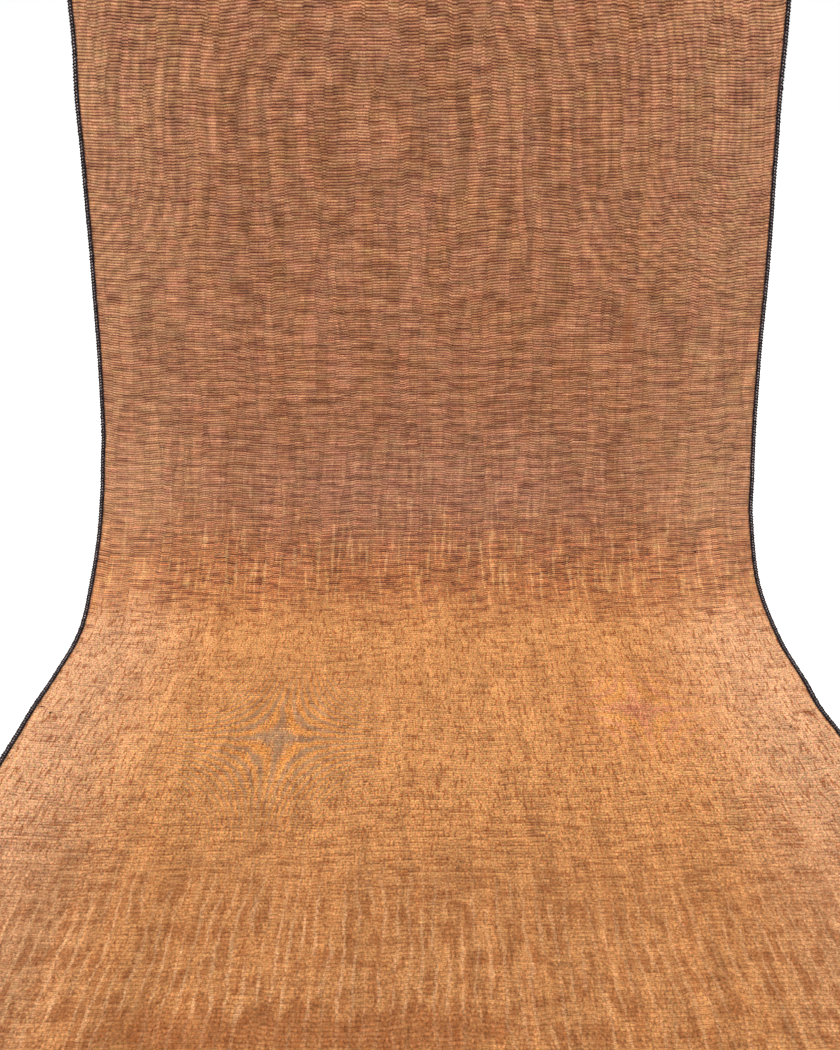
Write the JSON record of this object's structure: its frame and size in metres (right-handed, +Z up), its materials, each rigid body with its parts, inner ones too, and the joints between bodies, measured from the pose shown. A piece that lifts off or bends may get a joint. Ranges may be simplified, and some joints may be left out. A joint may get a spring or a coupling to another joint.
{
  "type": "moire fabric length",
  "caption": "Ribbed moire cloth with overlocked sides, held along its top edge, that sweeps forward to lie flat on a surface.",
  "frame": {"origin": "on the surface that the cloth's front part lies on, under the middle of the whole piece", "axes": "+Z up; the hanging part is at +Y and the lying part runs towards -Y; X runs across the cloth, along its ribs"},
  "size_m": [0.6049, 0.6271, 0.5313],
  "materials": {
    "moire_cloth": "matt crosswise ribs, copper crests over purple-brown valleys, watered",
    "overlock_thread": "matt dark purple-black thread with a few pale flecks"
  },
  "bodies": {
    "root": {"cloth": "moire_cloth", "overlock_left": "overlock_thread", "overlock_right": "overlock_thread"}
  },
  "joints": []
}
